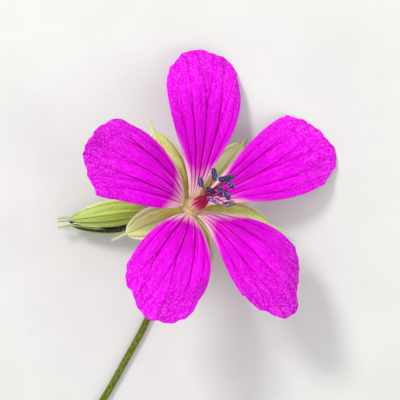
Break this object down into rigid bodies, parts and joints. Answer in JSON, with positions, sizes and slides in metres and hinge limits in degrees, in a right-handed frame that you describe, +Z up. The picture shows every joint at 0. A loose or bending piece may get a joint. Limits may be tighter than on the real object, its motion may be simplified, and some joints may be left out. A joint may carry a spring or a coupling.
{
  "type": "marsh cranesbill flower",
  "caption": "Cut stalk of marsh cranesbill lying on its side: an open magenta bloom with veined petals and blue anthers, and a closed calyx beside it.",
  "frame": {"origin": "bottom centre of the box round the whole flower, on the surface that it lies on", "axes": "+Z up off the surface, +Y from the cut end of the stalk towards the bloom, +X towards the side that the bloom faces"},
  "size_m": [0.0416, 0.063, 0.0183],
  "materials": {
    "petal": "thin living petal, satin, with dark crimson veins and a whitish pink claw",
    "sepal": "thin leaf, matt, olive green with paler papery margins",
    "receptacle": "moist plant tissue, satin yellow-green",
    "filament": "crimson, satin, paler at the foot",
    "anther": "dark slate blue, grainy and matt with pollen",
    "pistil": "satin, green below and reddish at the stigmas",
    "closed_calyx": "ribbed leaf, matt, yellow-green with fine hairs",
    "young_fruit": "matt dark green, nearly black at the tip",
    "stalk": "green stem, matt, with reddish brown mottling and short hairs"
  },
  "bodies": {
    "root": {"stalk": "stalk", "receptacle": "receptacle", "petal_top": "petal", "petal_right": "petal", "petal_lower_right": "petal", "petal_lower_left": "petal", "petal_left": "petal", "sepal_upper_left": "sepal", "sepal_upper_right": "sepal", "sepal_right": "sepal", "sepal_lower": "sepal", "sepal_lower_left": "sepal", "filaments": "filament", "anther_1": "anther", "anther_2": "anther", "anther_3": "anther", "anther_4": "anther", "anther_5": "anther", "anther_6": "anther", "anther_7": "anther", "anther_8": "anther", "anther_9": "anther", "anther_10": "anther", "pistil": "pistil", "closed_calyx_sepal_1": "closed_calyx", "closed_calyx_sepal_2": "closed_calyx", "closed_calyx_sepal_3": "closed_calyx", "closed_calyx_sepal_4": "closed_calyx", "closed_calyx_sepal_5": "closed_calyx", "young_fruit": "young_fruit"}
  },
  "joints": []
}
